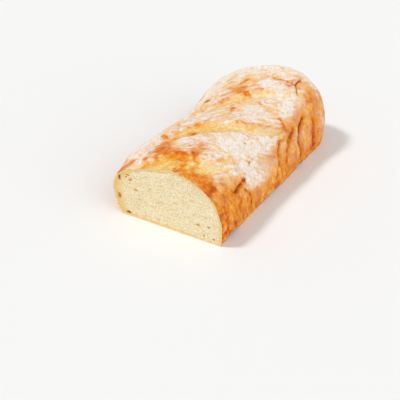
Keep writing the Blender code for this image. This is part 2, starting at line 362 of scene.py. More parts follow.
def section_points(turn, width, height, side, roundness):
    """(outwards, up) on one side of a section, at turns from the crest of 0 to pi."""
    widest = height * (side.widest + (DOME_CENTRE - side.widest) * roundness)
    base = width * (side.base + (TIP_BASE - side.base) * roundness)
    shoulder = np.minimum(turn, SHOULDER_TURN)
    out = width * np.sin(shoulder) ** (2 / side.fullness)
    up = widest + (height - widest) * np.maximum(np.cos(shoulder), 0.0) ** (2 / side.fullness)
    corner = (turn - SHOULDER_TURN) / (BASE_TURN - SHOULDER_TURN) * math.pi / 2
    low = turn > SHOULDER_TURN
    out = np.where(low, base + (width - base) * np.cos(corner), out)
    up = np.where(low, widest * (1 - np.sin(corner)), up)
    under = turn > BASE_TURN
    out = np.where(under, base * (math.pi - turn) / (math.pi - BASE_TURN), out)
    return out, np.where(under, 0.0, up)


def smooth_form(distance, turn):
    """The loaf's outline with no slashes, creases or swells."""
    share = np.clip((distance - LENGTH + END_DOME) / END_DOME, 0.0, 1.0)
    shrink = (1 - share**DOME_FULLNESS) ** (1 / DOME_FULLNESS)
    base_shrink = (1 - share**BASE_FULLNESS) ** (1 / BASE_FULLNESS)
    height = along(STATIONS, distance, HEIGHT)
    roundness = share**BASE_FULLNESS
    left_width = along(STATIONS, distance, LEFT) * shrink
    right_width = along(STATIONS, distance, RIGHT) * shrink
    left_out, left_up = section_points(abs(turn), left_width, height, FULL_SIDE, roundness)
    right_out, right_up = section_points(abs(turn), right_width, height, STEEP_SIDE, roundness)
    out = np.where(turn >= 0, left_out, -right_out)
    up = np.where(turn >= 0, left_up, right_up)
    centre = DOME_CENTRE * height
    up = centre + (up - centre) * np.where(up > centre, shrink, base_shrink)
    return np.stack([distance, out, up], axis=-1)


def outwards(distance, turn):
    """The direction straight out of the smooth form, kept in the cut's plane at the cut."""
    far = np.minimum(distance + PROBE, LENGTH * TIP_SHARE)
    lengthwise = smooth_form(far, turn) - smooth_form(np.maximum(far - 2 * PROBE, 0.0), turn)
    step = PROBE / GIRTH
    round_it = smooth_form(distance, turn + step) - smooth_form(distance, turn - step)
    out = np.cross(lengthwise, round_it)
    out /= np.maximum(np.linalg.norm(out, axis=-1, keepdims=True), TINY)
    out[..., 0] *= eased(distance / CUT_SQUARE)
    return out


def noise_at(points, size, seed=SWELL_SEED):
    """Smooth noise of about -1 to 1 with features of this size, at each point."""
    flat = points.reshape(-1, points.shape[-1]) / size
    values = [noise.noise(Vector(place) + seed) for place in flat.tolist()]
    return np.array(values).reshape(points.shape[:-1])


def slash_shape(slash, distance, way):
    """Of one slash: the place across it, in half widths from its middle, and how far it has faded in."""
    first, last = slash.route[0][0], slash.route[-1][0]
    inside = np.clip(way, first, last)
    slant = (along(slash.route, inside + PROBE, 1) - along(slash.route, inside - PROBE, 1)) / (2 * PROBE)
    off = (distance - along(slash.route, inside, 1)) / np.hypot(1, slant)
    half = 0.5 * along(slash.route, inside, 2)
    fade = eased((way - first) / SLASH_FADE) * eased((last - way) / SLASH_FADE)
    return off / half, fade


def slash_relief(slash, distance, way):
    across, fade = slash_shape(slash, distance, way)
    valley = -slash.depth * eased((VALLEY_RIM - abs(across)) / (VALLEY_RIM - VALLEY_FLOOR))
    lip = slash.lip * np.exp(-(((across - VALLEY_RIM) / LIP_REACH) ** 2))
    return fade * (valley + lip)


def reach_from(places, distance, way):
    """How far each place of the laid-out crust is from a line through these places."""
    nearest = np.full(distance.shape, np.inf)
    for (x0, y0), (x1, y1) in zip(places, places[1:]):
        dx, dy = x1 - x0, y1 - y0
        share = np.clip(((distance - x0) * dx + (way - y0) * dy) / (dx * dx + dy * dy), 0.0, 1.0)
        nearest = np.minimum(nearest, np.hypot(distance - x0 - share * dx, way - y0 - share * dy))
    return nearest


def crease_cover(crease, distance, way, width_share=1.0):
    """1 along a crease's bottom, falling to 0 at its edges."""
    return np.exp(-((2 * reach_from(crease.places, distance, way) / (crease.width * width_share)) ** 2))


def blister_cover(blister, distance, way, spread=1.0):
    reach = np.hypot(distance - blister.distance, way - blister.way)
    return np.exp(-((reach / (blister.radius * spread)) ** 2))


def patch_cover(patches, distance, way):
    """How much these patches cover each place of the laid-out crust."""
    cover = np.zeros(distance.shape)
    for middle_distance, middle_way, half_length, half_breadth, tilt, amount in patches:
        lean = math.radians(tilt)
        dx, dy = distance - middle_distance, way - middle_way
        lengthwise = (dx * math.cos(lean) + dy * math.sin(lean)) / half_length
        across = (dy * math.cos(lean) - dx * math.sin(lean)) / half_breadth
        cover += amount * np.exp(-(lengthwise**2) - across**2)
    return cover


def streaks(across, lengthwise, kind, number=0):
    """Noise drawn out lengthwise, like stretched or torn crust."""
    depth = np.full(across.shape, kind.seed + number)
    return noise_at(np.stack([across / kind.breadth, lengthwise / kind.length, depth], axis=-1), 1.0)


def side_folds(distance, way):
    """Fine upright folds, as the sides' crust has: up to 1 in a fold's bottom."""
    return streaks(distance + FOLD_SLANT * way, way, SIDE_FOLDS)


def relief(distance, turn, place, near):
    """How far the crust stands out from the smooth form."""
    height = sum(slash_relief(slash, *near) for slash in SLASHES)
    height -= sum(crease.depth * crease_cover(crease, *near) for crease in CREASES)
    height -= sum(blister.depth * blister_cover(blister, *near) for blister in BLISTERS)
    height += sum(size * noise_at(place, reach) for reach, size in SWELLS)
    height += sum(size * noise_at(place, reach) for reach, size in RIPPLES)
    on_side = eased((abs(near[1]) - FOLDS_FROM) / FOLDS_BLUR)
    height -= FOLD_DEPTH * on_side * side_folds(*near)
    above_base = eased((BASE_TURN - abs(turn)) / FADE_TURN)
    off_tip = eased((LENGTH - distance) / FADE_LENGTH)
    return height * above_base * off_tip


def base_lift(distance, turn):
    """How far the base's edge rises off the surface."""
    rise = np.zeros(distance.shape)
    reach = 1 - abs(abs(turn) - BASE_TURN) / LIFT_REACH
    for middle, half_length, height, side in LIFTS:
        spread = eased(1 - abs(distance - middle) / half_length)
        rise += np.where(side * turn > 0, height * eased(reach) * spread, 0.0)
    return rise


def wandered(distance, way, place):
    """The laid-out place moved a little, so that edges wander as torn crust does."""
    return (
        distance + JITTER * noise_at(place, JITTER_SIZE, DISTANCE_SEED),
        way + JITTER * noise_at(place, JITTER_SIZE, WAY_SEED),
    )


def crust_points(distance, turn):
    """Points of the crust, and where each lies on the laid-out crust, wandered a little."""
    place = smooth_form(distance, turn)
    near = wandered(distance, turn * GIRTH, place)
    points = place + relief(distance, turn, place, near)[..., None] * outwards(distance, turn)
    under = abs(turn) >= BASE_TURN
    points[..., 2] = np.where(under, np.maximum(points[..., 2], 0.0), points[..., 2])
    points[..., 2] += base_lift(distance, turn)
    return points, near


def ring_turns():
    """The turns of a ring's points: even round the upper crust, wider apart under the base."""
    upper = np.linspace(-BASE_TURN, BASE_TURN, UPPER_DIVISIONS + 1)
    left = np.linspace(BASE_TURN, math.pi, BASE_DIVISIONS // 2 + 1)[1:]
    return np.concatenate([-left[::-1], upper, left])


def ring_distances():
    barrel = LENGTH - END_DOME
    shares = np.sin(np.linspace(0, math.pi / 2, DOME_DIVISIONS + 1)[1:])
    dome = barrel + END_DOME * np.minimum(shares, TIP_SHARE)
    return np.concatenate([np.linspace(0, barrel, BARREL_DIVISIONS + 1), dome])


def wrap_grid(points, layers):
    """A flat grid whose rows and columns take these points, with the layers' values on its vertices."""
    rows, columns = points.shape[0] - 1, points.shape[1] - 1
    mesh = bmesh.new()
    bmesh.ops.create_grid(mesh, x_segments=rows, y_segments=columns, size=0.5)
    made = {name: mesh.verts.layers.float.new(name) for name in layers}
    for vertex in mesh.verts:
        row = round((vertex.co.x + 0.5) * rows)
        column = round((vertex.co.y + 0.5) * columns)
        vertex.co = points[row, column].tolist()
        for name, values in layers.items():
            vertex[made[name]] = values[row, column]
    return mesh


def add_object(name, data):
    """A new object of the scene."""
    made = bpy.data.objects.new(name, data)
    bpy.context.scene.collection.objects.link(made)
    return made


def add_mesh(name, mesh, material):
    """The finished mesh as an object of the scene."""
    data = bpy.data.meshes.new(name)
    mesh.to_mesh(data)
    mesh.free()
    data.materials.append(material)
    return add_object(name, data)


def add_piece(name, mesh, material):
    """Makes the finished mesh a piece of the loaf that stands for its solid."""
    bmesh.ops.translate(mesh, verts=mesh.verts, vec=(-LENGTH / 2, -CREST_OFFSET, 0.0))
    piece = add_mesh(name, mesh, material)
    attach(piece, "root")
    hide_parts("loaf")


def tone(red, green, blue):
    """A colour as it looks on screen, 0 to 255, for a shader."""
    levels = []
    for level in (red, green, blue):
        share = level / 255
        levels.append(share / 12.92 if share <= 0.04045 else ((share + 0.055) / 1.055) ** 2.4)
    return (*levels, 1.0)


def new_material(name, roughness):
    material = bpy.data.materials.new(name)
    material.use_nodes = True
    shader = material.node_tree.nodes["Principled BSDF"]
    shader.inputs["Roughness"].default_value = roughness
    shader.inputs["Metallic"].default_value = 0.0
    return material, shader


def ragged(cover, torn, blur):
    """A soft cover as a patch with a torn edge."""
    return eased((cover + torn - 0.5) / blur + 0.5)


def shown(mottling, show):
    """Where a noise lets a mark show, 0 to 1."""
    start, rise = show
    return eased(start + rise * mottling)


Mottling = namedtuple("Mottling", "broad middle small torn")


def mottling_at(place):
    """The crust's mottling in three sizes, and how the edges of its patches are torn."""
    broad = noise_at(place, *BROAD_MOTTLING)
    middle = noise_at(place, *MIDDLE_MOTTLING)
    small = noise_at(place, *SMALL_MOTTLING)
    return Mottling(broad, middle, small, MIDDLE_TEAR * middle + SMALL_TEAR * small)


Brushing = namedtuple("Brushing", "folds swept strokes")


def brushing_at(distance, near, mottling, covering):
    """The crust's streaks: its sides' folds, its swept flour, and the bare strokes through the flour."""
    far, way = near
    off_dome = eased((LENGTH - distance - STREAKS_END) / STREAKS_FADE)
    across = SWEEP_ALONG * far + SWEEP_ROUND * way
    lengthwise = SWEEP_ROUND * far - SWEEP_ALONG * way
    folds = off_dome * side_folds(far, way)
    swept = off_dome * streaks(across, lengthwise, SWEPT_FLOUR)
    strokes = eased(STROKE_REACH - abs(streaks(across, lengthwise, BROAD_STROKES)) / STROKE_BLUR)
    strokes *= shown(mottling.middle, STROKES_SHOW) * off_dome
    strokes *= (1 - covering.sides) * (1 - DUST_ON_STROKES * covering.dusted)
    strokes *= 1 - CROWN_ON_STROKES * covering.crown
    return Brushing(folds, swept, strokes)


Opening = namedtuple("Opening", "cover pale banks strands")


def opening_at(near, mottling):
    """Of the slashes' insides: their cover, how pale they are, their banks browned and darkened with painted
    shade along the lip, and stretched strands.
    """
    far, way = near
    cover, pale, banks, strands = np.zeros((4, *far.shape))
    left_end = eased((GOLDEN_EDGE - way + GOLDEN_TEAR * mottling.torn) / GOLDEN_BLUR)
    paler = PALE_RISE * eased((PALE_FROM - way) / PALE_BLUR)
    for number, slash in enumerate(SLASHES):
        across, fade = slash_shape(slash, far, way)
        fade = fade * left_end
        inside = fade * eased((OPEN_EDGE - abs(across) + mottling.torn) / OPEN_BLUR)
        off_bank = (across - BANK_PLACE + BANK_SWAY * mottling.small) / BANK_BREADTH
        cover = np.maximum(cover, inside)
        pale = np.maximum(pale, inside * np.clip(slash.pale + paler, 0, 1))
        banks = np.maximum(banks, fade * np.exp(-(off_bank**2)))
        strands += inside * streaks(across, way, SLASH_STRANDS, number)
    return Opening(cover, pale, banks, strands)


Covering = namedtuple("Covering", "sides bare dusted crown")


def covering_at(distance, height, near, mottling):
    """Where the crust is bare down its sides and in patches, and where flour lies thick."""
    far, way = near
    below = np.maximum(along(FLOUR_EDGE, distance, 1) - way, way - LEFT_FLOUR_EDGE)
    domed = eased((distance - LENGTH + DOME_FLOUR_REACH) / DOME_FLOUR_BLUR)
    below += (DOME_FLOUR_HEIGHT - height - below) * domed
    wander = below + FLOUR_EDGE_TEAR * mottling.torn + FLOUR_EDGE_SWAY * mottling.broad
    sides = eased(wander / FLOUR_EDGE_BLUR + 0.5)
    bare = ragged(patch_cover(BARE_PATCHES, far, way), BARE_TEAR * mottling.torn, BARE_BLUR)
    dusted = ragged(patch_cover(FLOURED_PATCHES, far, way), DUSTED_TEAR * mottling.torn, DUSTED_BLUR)
    crown = (1 - sides) * eased((distance - CROWN_FROM) / CROWN_FROM_BLUR)
    crown = crown * eased((way - CROWN_RIGHT) / CROWN_RIGHT_BLUR)
    crown *= eased((CROWN_TO - distance + CROWN_TO_SWAY * mottling.middle) / CROWN_TO_BLUR)
    return Covering(sides, bare, dusted, crown)


Cracking = namedtuple("Cracking", "dark halo spots burst")


def cracking_at(near, mottling):
    """Of the creases and the blisters: the painted shade in the creases, the blisters' dark insides and the
    browned crust around them.
    """
    far, way = near
    jagged = far + CREASE_RAG * mottling.small, way + CREASE_RAG * mottling.middle
    broken = shown(mottling.small, CREASES_SHOW)
    # Painted shade along each crease's core, broken up by the mottling
    dark = sum(crease.dark * crease_cover(crease, *jagged, CREASE_CORE) for crease in CREASES) * broken
    halo = sum(crease.halo * crease_cover(crease, far, way, CREASE_HALO) for crease in CREASES)
    spots = sum(blister.dark * blister_cover(blister, far, way) for blister in BLISTERS)
    burst = sum(blister.dark * blister_cover(blister, far, way, BURST_SPREAD) for blister in BLISTERS)
    return Cracking(dark, halo, spots, burst)


def mottled(level, mottling):
    """What the mottling in its three sizes adds to a level."""
    return level.broad * mottling.broad + level.middle * mottling.middle + level.small * mottling.small


def bake_level(way, mottling, brushing, opening, covering, cracking):
    """How brown each place is baked."""
    bake = BROWNING.crust + BROWNING.sides * covering.sides + BROWNING.bare * covering.bare
    bake += mottled(BROWNING, mottling) + BROWNING.folds * covering.sides * brushing.folds
    bake += BROWNING.swept * brushing.swept + BROWNING.strokes * brushing.strokes
    golden = GOLDEN.crust - GOLDEN.pale * opening.pale + GOLDEN.left * eased(way / GOLDEN_LEFT)
    golden += GOLDEN.strands * opening.strands + GOLDEN.middle * mottling.middle
    bake += (golden - bake) * opening.cover * (1 - BARE_KEEPS * covering.bare)
    # Along each lip the crust is browned, and darkened more as painted shade of the lip's overhang
    bake += BROWNING.banks * opening.banks * shown(mottling.middle, BANKS_SHOW)
    bake += BROWNING.halo * cracking.halo + BROWNING.burst * cracking.burst
    return bake - BROWN_EASING * (1 - covering.sides) * np.maximum(bake - BROWN_LIMIT, 0.0)


def flour_level(mottling, brushing, opening, covering, cracking):
    """How thickly each place is floured."""
    sides, dusted = covering.sides, covering.dusted
    flour = FLOURING.crust + FLOURING.dusted * dusted
    flour -= FLOURING.sides * sides * (1 - DUST_ON_SIDES * dusted)
    flour -= (FLOURING.opened - FLOURING.pale * opening.pale) * opening.cover
    flour -= FLOURING.bare * covering.bare + FLOURING.banks * opening.banks
    flour -= FLOURING.halo * cracking.halo + FLOURING.dark * cracking.dark + FLOURING.burst * cracking.burst
    flour += FLOURING.crown * covering.crown + FLOURING.broad * mottling.broad
    fine = FLOURING.middle * mottling.middle + FLOURING.small * mottling.small
    fine += FLOURING.swept * brushing.swept
    flour += fine * (1 - SIDES_ON_MOTTLING * sides) + FLOURING.folds * sides * brushing.folds
    return flour - FLOURING.strands * opening.strands - FLOURING.strokes * brushing.strokes


def crust_layers(distance, turn, near):
    """What the crust's material reads: how far baked, how floured and how dark each place is, the dark being
    painted shade in the creases and the blisters' own dark.
    """
    place = smooth_form(distance, turn)
    height = place[..., 2]
    mottling = mottling_at(place)
    covering = covering_at(distance, height, near, mottling)
    brushing = brushing_at(distance, near, mottling, covering)
    opening = opening_at(near, mottling)
    cracking = cracking_at(near, mottling)
    bake = bake_level(near[1], mottling, brushing, opening, covering, cracking)
    flour = flour_level(mottling, brushing, opening, covering, cracking)
    under = (abs(turn) > BASE_TURN) & (height < UNDERSIDE_HEIGHT)
    bake = np.where(under, UNDERSIDE_BAKE.crust + mottled(UNDERSIDE_BAKE, mottling), bake)
    flour = np.where(under, UNDERSIDE_FLOUR.crust + mottled(UNDERSIDE_FLOUR, mottling), flour)
    return {
        "bake": np.clip(bake, 0, 1),
        "flour": np.clip(flour, BAREST, 1),
        # The dark layer: painted shade in the creases, and the blisters' own dark
        "dark": np.clip(CREASE_PAINTED_SHADE * cracking.dark + BLISTER_DARKENING * cracking.spots, 0, 1),
    }


def cut_ring(rim, inset, depth=0.0):
    """A ring of the cut this far inside its rim."""
    middle = np.array([0.0, 0.0, CUT_MIDDLE])
    radius = np.linalg.norm(rim - middle, axis=-1, keepdims=True)
    return middle + (rim - middle) * np.maximum(1 - inset / radius, 0.0) + np.array([depth, 0.0, 0.0])


def make_crust(material):
    distance, turn = np.meshgrid(ring_distances(), ring_turns(), indexing="ij")
    points, near = crust_points(distance, turn)
    layers = crust_layers(distance, turn, near)
    rim = points[0]
    tip = np.broadcast_to(np.array([LENGTH, 0.0, DOME_CENTRE * STATIONS[-1][HEIGHT]]), rim.shape)
    cut = [
        cut_ring(rim, LENGTH, SEAT_DEPTH),
        cut_ring(rim, RIM, SEAT_DEPTH),
        cut_ring(rim, RIM),
        cut_ring(rim, SKIN),
    ]
    points = np.concatenate([cut, points, [tip]])
    for name, values in layers.items():
        inside = np.full((len(cut), values.shape[1]), CUT_EDGE[name])
        layers[name] = np.concatenate([inside, values, values[-1:]])
    mesh = wrap_grid(points, layers)
    bmesh.ops.remove_doubles(mesh, verts=mesh.verts, dist=MERGE_REACH)
    bmesh.ops.recalc_face_normals(mesh, faces=mesh.faces)
    for face in mesh.faces:
        face.smooth = True
    for edge in mesh.edges:
        edge.smooth = not all(vertex.co.x < MERGE_REACH for vertex in edge.verts)
    add_piece("crust", mesh, material)


# The crumb: cells of its grid, its sink behind the rim and its tuck under it
CRUMB_COLUMNS, CRUMB_ROWS = 300, 160
CRUMB_SINK = 0.0003
CRUMB_TUCK = 0.0002
# It is whole this near to its edge
CRUMB_WHOLE = 0.0010
# Its pores by size, share of cells that are open, depth and how wide for their height
Pores = namedtuple("Pores", "size open_share depth stretch")
PORES = (
    Pores(0.0060, 0.40, 0.0008, 1.8),
    Pores(0.0032, 0.50, 0.0006, 1.7),
    Pores(0.0019, 0.55, 0.0004, 1.5),
)
# A pore's radius, in cells, from the least to the most, and how much of a hole's painted shade it has
PORE_RADIUS, PORE_RADIUS_RANGE = 0.25, 0.3
PORE_SHADE = 0.58
PORE_SEED = 0.5
RADIUS_SEED = Vector((0.5, 0.2, 0.7))
CHANCE_MIX = (12.9898, 78.233, 37.719)
CHANCE_SPREAD = 43758.5453
CRUMB_WAVE, CRUMB_WAVE_SIZE = 0.00035, 0.009
# Larger holes in the cut: left of the crest, height, half width, half height, depth and how dark the painted
# shade inside is
HOLES = (
    (0.0590, 0.0440, 0.0012, 0.0026, 0.0020, 1.0),
    (0.0600, 0.0210, 0.0018, 0.0030, 0.0014, 0.5),
    (0.0485, 0.0036, 0.0024, 0.0013, 0.0022, 1.0),
    (0.0480, 0.0500, 0.0020, 0.0008, 0.0016, 0.3),
    (0.0450, 0.0445, 0.0020, 0.0008, 0.0016, 0.3),
    (0.0500, 0.0470, 0.0010, 0.0008, 0.0014, 0.4),
    (0.0380, 0.0340, 0.0018, 0.0008, 0.0012, 0.2),
    (-0.0390, 0.0170, 0.0022, 0.0009, 0.0018, 0.3),
    (-0.0520, 0.0180, 0.0018, 0.0008, 0.0016, 0.2),
    (-0.0460, 0.0060, 0.0012, 0.0008, 0.0016, 0.2),
    (-0.0580, 0.0050, 0.0014, 0.0008, 0.0020, 0.5),
)
HOLE_EDGE = 1.6
# The crumb is browned in a band along its edge, wider at its left, from here on
LEFT_FROM, LEFT_BLUR = 0.030, 0.030
BAND, LEFT_BAND = 0.0026, 0.0120
BAND_LEVEL = 1.15
# It is browned a little at its upper left
UPPER_FROM, UPPER_BLUR, UPPER_LEVEL = 0.024, 0.030, 0.45
# Soft clouds brown it too, more at its left
CLOUD_SIZE = 0.0075
CLOUD_STRETCH = np.array([0.6, 1.0, 1.0])
CLOUDS_SHOW = (0.25, 1.2)
CLOUD_LEVEL, LEFT_CLOUD_LEVEL = 0.22, 0.16


def cell_chance(centre):
    """A steady chance, 0 to 1, for the cell with this centre."""
    mixed = sum(part * share for part, share in zip(centre, CHANCE_MIX))
    return (math.sin(mixed) * CHANCE_SPREAD) % 1.0


def pore_depths(across, up, pores, seed):
    """How deep one size of pore is at each place of the cut, 0 to 1."""
    depths = np.zeros(across.shape)
    for index in np.ndindex(across.shape):
        spot = Vector((across[index] / (pores.size * pores.stretch), up[index] / pores.size, seed))
        reaches, centres = noise.voronoi(spot)
        if cell_chance(centres[0]) < pores.open_share:
            radius = PORE_RADIUS + PORE_RADIUS_RANGE * cell_chance(centres[0] + RADIUS_SEED)
            depths[index] = 1 - reaches[0] / radius
    return eased(depths)


def crumb_grid(rim):
    """Places across the cut and how far each is from its edge, on a grid rounded to the crust's inside."""
    inner = cut_ring(rim, RIM)
    angle = np.arctan2(inner[:, 2] - CUT_MIDDLE, inner[:, 1])
    radius = np.hypot(inner[:, 1], inner[:, 2] - CUT_MIDDLE) + CRUMB_TUCK
    order = np.argsort(angle)
    columns, rows = np.linspace(-1, 1, CRUMB_COLUMNS + 1), np.linspace(-1, 1, CRUMB_ROWS + 1)
    u, v = np.meshgrid(columns, rows, indexing="ij")
    round_u, round_v = u * np.sqrt(1 - v * v / 2), v * np.sqrt(1 - u * u / 2)
    aim = np.arctan2(round_v * CUT_MIDDLE, round_u * STATIONS[0][LEFT])
    share = np.hypot(round_u, round_v)
    reach = share * np.interp(aim, angle[order], radius[order], period=2 * math.pi)
    from_edge = reach / np.maximum(share, TINY) - reach
    return reach * np.cos(aim), CUT_MIDDLE + reach * np.sin(aim), from_edge


def crumb_surface(flat, from_edge):
    """How far the crumb lies behind the rim, how much painted shade its open pores and holes have, and how
    much darker painted shade its larger holes have.
    """
    across, up = flat[..., 0], flat[..., 1]
    pore, hole_shade = np.zeros((2, *across.shape))
    sink = CRUMB_SINK + CRUMB_WAVE * noise_at(flat, CRUMB_WAVE_SIZE)
    for number, pores in enumerate(PORES):
        depths = pore_depths(across, up, pores, number + PORE_SEED)
        sink += pores.depth * depths
        # Painted shade in each open pore, more where it is deeper
        pore = np.maximum(pore, depths * PORE_SHADE)
    for hole_left, hole_up, half_width, half_height, depth, brown in HOLES:
        reach = np.hypot((across - hole_left) / half_width, (up - hole_up) / half_height)
        cover = eased(HOLE_EDGE - reach)
        sink += depth * cover
        pore = np.maximum(pore, cover)
        # Darker painted shade inside the larger holes
        hole_shade = np.maximum(hole_shade, cover * brown)
    return CRUMB_SINK + (sink - CRUMB_SINK) * eased(from_edge / CRUMB_WHOLE), pore, hole_shade


def crumb_browning(flat, from_edge):
    """How browned the crumb is: along its edge, at its upper left and in soft clouds."""
    left = eased((flat[..., 0] - LEFT_FROM) / LEFT_BLUR)
    band = np.clip(BAND_LEVEL - from_edge / (BAND + LEFT_BAND * left), 0.0, 1.0)
    upper = UPPER_LEVEL * left * eased((flat[..., 1] - UPPER_FROM) / UPPER_BLUR)
    clouds = shown(noise_at(flat * CLOUD_STRETCH, CLOUD_SIZE), CLOUDS_SHOW)
    return np.maximum(np.maximum(band, upper), (CLOUD_LEVEL + LEFT_CLOUD_LEVEL * left) * clouds)


def make_crumb(material):
    turn = ring_turns()
    rim, _ = crust_points(np.zeros(turn.shape), turn)
    across, up, from_edge = crumb_grid(rim)
    flat = np.stack([across, up, np.zeros(across.shape)], axis=-1)
    sink, pore, hole_shade = crumb_surface(flat, from_edge)
    browned = crumb_browning(flat, from_edge)
    points = np.stack([sink, across, up], axis=-1)
    mesh = wrap_grid(points, {"pore": pore, "hole_shade": hole_shade, "browned": browned})
    edges = [edge for edge in mesh.edges if edge.is_boundary]
    walls = bmesh.ops.extrude_edge_only(mesh, edges=edges)["geom"]
    back = [item for item in walls if isinstance(item, bmesh.types.BMVert)]
    for vertex in back:
        vertex.co.x = SEAT_DEPTH
    bmesh.ops.holes_fill(mesh, edges=[edge for edge in mesh.edges if edge.is_boundary], sides=0)
    bmesh.ops.recalc_face_normals(mesh, faces=mesh.faces)
    for face in mesh.faces:
        face.smooth = len(face.verts) == 4
    add_piece("crumb", mesh, material)


# Each use of the baked grain: how many features to the metre, coarse and fine, and the fine ones' share
USUAL_GRAIN = (400.0, 1100.0, 0.4)
CRUST_MOTTLE = (240.0, 700.0, 0.45)
CRUST_SPECK = (520.0, 1500.0, 0.45)
CRUMB_MOTTLE = (640.0, 1500.0, 0.45)
GRAIN_SOCKETS = ("Coarse scale", "Fine scale", "Fine share")
GRAIN_DETAIL = 3.0


def grain_group():
    """Fine mottling in two sizes, shared by every baked surface: 0 to 1, about 0.5 on average."""
    group = bpy.data.node_groups.new("baked grain", "ShaderNodeTree")
    for name, default in zip(GRAIN_SOCKETS, USUAL_GRAIN):
        socket = group.interface.new_socket(name, in_out="INPUT", socket_type="NodeSocketFloat")
        socket.default_value = default
    group.interface.new_socket("Value", in_out="OUTPUT", socket_type="NodeSocketFloat")
    nodes, links = group.nodes, group.links
    entry = nodes.new("NodeGroupInput")
    place = nodes.new("ShaderNodeTexCoord")
    blend = nodes.new("ShaderNodeMix")
    leave = nodes.new("NodeGroupOutput")
    for scale, side in (("Coarse scale", "A"), ("Fine scale", "B")):
        texture = nodes.new("ShaderNodeTexNoise")
        texture.inputs["Detail"].default_value = GRAIN_DETAIL
        links.new(place.outputs["Object"], texture.inputs["Vector"])
        links.new(entry.outputs[scale], texture.inputs["Scale"])
        links.new(texture.outputs["Fac"], blend.inputs[side])
    links.new(entry.outputs["Fine share"], blend.inputs["Factor"])
    links.new(blend.outputs["Result"], leave.inputs["Value"])
    return group


class Finish:
    """A material being built: its node tree with short calls that add a node and return its output."""

    def __init__(self, name, roughness, sheen):
        self.material, self.shader = new_material(name, roughness)
        self.shader.inputs["Specular IOR Level"].default_value = sheen
        self.tree = self.material.node_tree
        self.new = self.tree.nodes.new

    def wire(self, value, socket):
        if isinstance(value, bpy.types.NodeSocket):
            self.tree.links.new(value, socket)
        else:
            socket.default_value = value

    def layer(self, name):
        node = self.new("ShaderNodeAttribute")
        node.attribute_name = name
        return node.outputs["Fac"]

    def grain(self, group, grain):
        node = self.new("ShaderNodeGroup")
        node.node_tree = group
        for name, value in zip(GRAIN_SOCKETS, grain):
            node.inputs[name].default_value = value
        return node.outputs["Value"]

    def place(self):
        return self.new("ShaderNodeTexCoord").outputs["Object"]

    def bent(self, bend):
        """Each place moved a little by a noise."""
        moved = self.new("ShaderNodeVectorMath")
        moved.operation = "MULTIPLY_ADD"
        for value, socket in zip((bend, CRACKLE_BEND, self.place()), moved.inputs):
            self.wire(value, socket)
        return moved.outputs["Vector"]

    def cells(self, feature, scale, place):
        """How far each place is from the middle of its cell, or from the cell's edge."""
        texture = self.new("ShaderNodeTexVoronoi")
        texture.feature = feature
        texture.inputs["Scale"].default_value = scale
        self.wire(place, texture.inputs["Vector"])
        return texture.outputs["Distance"]

    def calculate(self, operation, *values, clamp=False):
        node = self.new("ShaderNodeMath")
        node.operation = operation
        node.use_clamp = clamp
        for value, socket in zip(values, node.inputs):
            self.wire(value, socket)
        return node.outputs["Value"]

    def scaled(self, value, share, added, clamp=False):
        """The value times share, plus added."""
        return self.calculate("MULTIPLY_ADD", value, share, added, clamp=clamp)

    def mix(self, factor, first, second):
        node = self.new("ShaderNodeMix")
        node.data_type = "RGBA"
        self.wire(factor, node.inputs["Factor"])
        self.wire(first, node.inputs["A"])
        self.wire(second, node.inputs["B"])
        return node.outputs["Result"]

    def ramp(self, value, stops):
        node = self.new("ShaderNodeValToRGB")
        elements = node.color_ramp.elements
        while len(elements) < len(stops):
            elements.new(0.5)
        for element, (place, colour) in zip(elements, stops):
            element.position = place
            element.color = colour
        self.wire(value, node.inputs["Fac"])
        return node.outputs["Color"]

    def bump(self, height, strength, depth):
        node = self.new("ShaderNodeBump")
        node.inputs["Strength"].default_value = strength
        node.inputs["Distance"].default_value = depth
        self.wire(height, node.inputs["Height"])
        self.wire(node.outputs["Normal"], self.shader.inputs["Normal"])

    def colour(self, colour):
        self.wire(colour, self.shader.inputs["Base Color"])


BAKED_TONES = (
    (0.00, tone(244, 226, 176)),
    (0.20, tone(241, 205, 128)),
    (0.40, tone(238, 174, 76)),
    (0.60, tone(232, 138, 34)),
    (0.80, tone(212, 102, 20)),
    (1.00, tone(172, 74, 18)),
)
FLOUR_TONES = (
    (0.28, tone(226, 204, 180)),
    (0.47, tone(244, 237, 227)),
    (0.64, tone(250, 247, 242)),
)
THIN_FLOUR_TONE = tone(246, 214, 170)
# Painted shade in the creases' cores, and the blisters' own dark
CREASE_SHADE_AND_BLISTER_TONE = tone(120, 54, 24)
WRINKLE_TONE = tone(196, 128, 72)
CRUST_ROUGHNESS = 0.72
# Floured crust is rougher than bare crust, by so much
BARE_ROUGHNESS, FLOUR_ROUGHNESS = 0.62, 0.3
CRUST_SHEEN = 0.12
# How far the mottling shifts the bake and the flour
BAKE_SHIFT = 0.85
FLOUR_SHIFT = 1.3
THICKEST_FLOUR = 0.94
# The skin's wrinkles run along the edges of cells, so many to the metre
WRINKLE_CELLS = 150.0
WRINKLE_LEVEL = 0.55
CRACKLE_BEND = (0.02, -0.02, 0.02)
# Slope and start: the flour's cover, its thinnest film, where it is thick, the wrinkles and where they show
COVER_RAMP = (1.2, -0.12)
FILM_RAMP = (0.70, 0.12)
THICK_RAMP = (2.2, -0.5)
WRINKLE_RAMP = (-9.0, 1.0)
WRINKLES_SHOW = (5.0, -2.1)
# How high these stand, beside the mottling
SPECK_HEIGHT, FLOUR_HEIGHT, WRINKLE_HEIGHT = 0.3, 0.15, -0.15
CRUST_BUMP, CRUST_BUMP_DEPTH = 0.8, 0.0012


